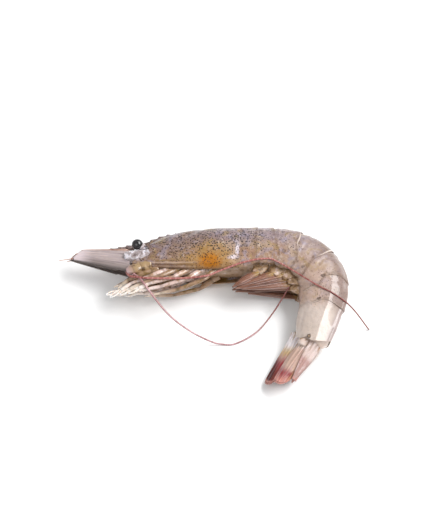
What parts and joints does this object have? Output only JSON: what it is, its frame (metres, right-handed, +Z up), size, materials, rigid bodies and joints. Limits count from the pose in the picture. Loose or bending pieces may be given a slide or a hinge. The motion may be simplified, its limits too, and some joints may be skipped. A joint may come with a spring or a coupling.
{
  "type": "raw prawn",
  "caption": "Whole raw prawn, head on, lying on one side with its tail curled, with legs, swimmerets, long feelers and tail fan, as one solid.",
  "frame": {"origin": "centre of the footprint, on the surface that the prawn lies on", "axes": "+X from the head towards the bend of the tail, +Y towards the back, +Z up through the left flank; the prawn lies on its right side"},
  "size_m": [0.1242, 0.07, 0.019],
  "materials": {
    "shell": "wet, translucent grey shell with fine dark dots",
    "blade": "thin wet translucent blades of the head and the swimmerets",
    "limb": "wet pale pink legs",
    "tail": "wet ribbed tail plates, red at the tips",
    "feeler": "fine ringed red whips",
    "eye": "glossy black"
  },
  "bodies": {
    "root": {"prawn": "shell"}
  },
  "joints": []
}
